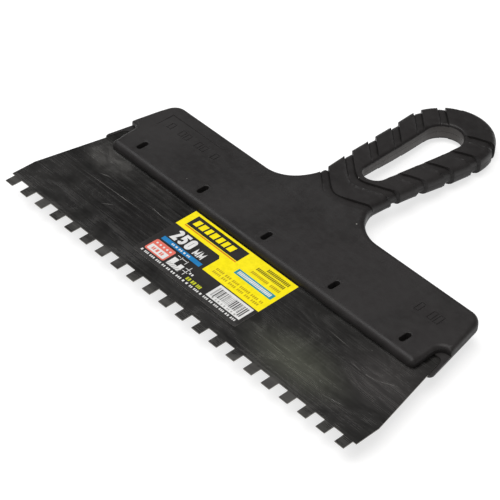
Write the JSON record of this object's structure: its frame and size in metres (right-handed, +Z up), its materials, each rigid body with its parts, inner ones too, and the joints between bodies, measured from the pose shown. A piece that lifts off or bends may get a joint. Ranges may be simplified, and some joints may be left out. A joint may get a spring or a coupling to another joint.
{
  "type": "notched trowel",
  "caption": "Notched trowel with a wide stainless blade with square teeth, a black plastic holder and a looped grip with wrap-like bands.",
  "frame": {"origin": "middle of the bounding box in plan, at the lowest level of the grip", "axes": "+X along the row of teeth, +Y from the teeth towards the grip, +Z up out of the blade's labelled face"},
  "size_m": [0.25, 0.2238, 0.0179],
  "materials": {
    "steel": "brushed, lightly scratched",
    "black_plastic": "satin moulded, fine grain",
    "dark_plastic": "satin moulded, fine grain",
    "label_print": "smooth printed sticker"
  },
  "bodies": {
    "root": {"blade": "steel", "grip_upper": "black_plastic", "grip_lower": "dark_plastic", "label": "label_print"}
  },
  "joints": []
}
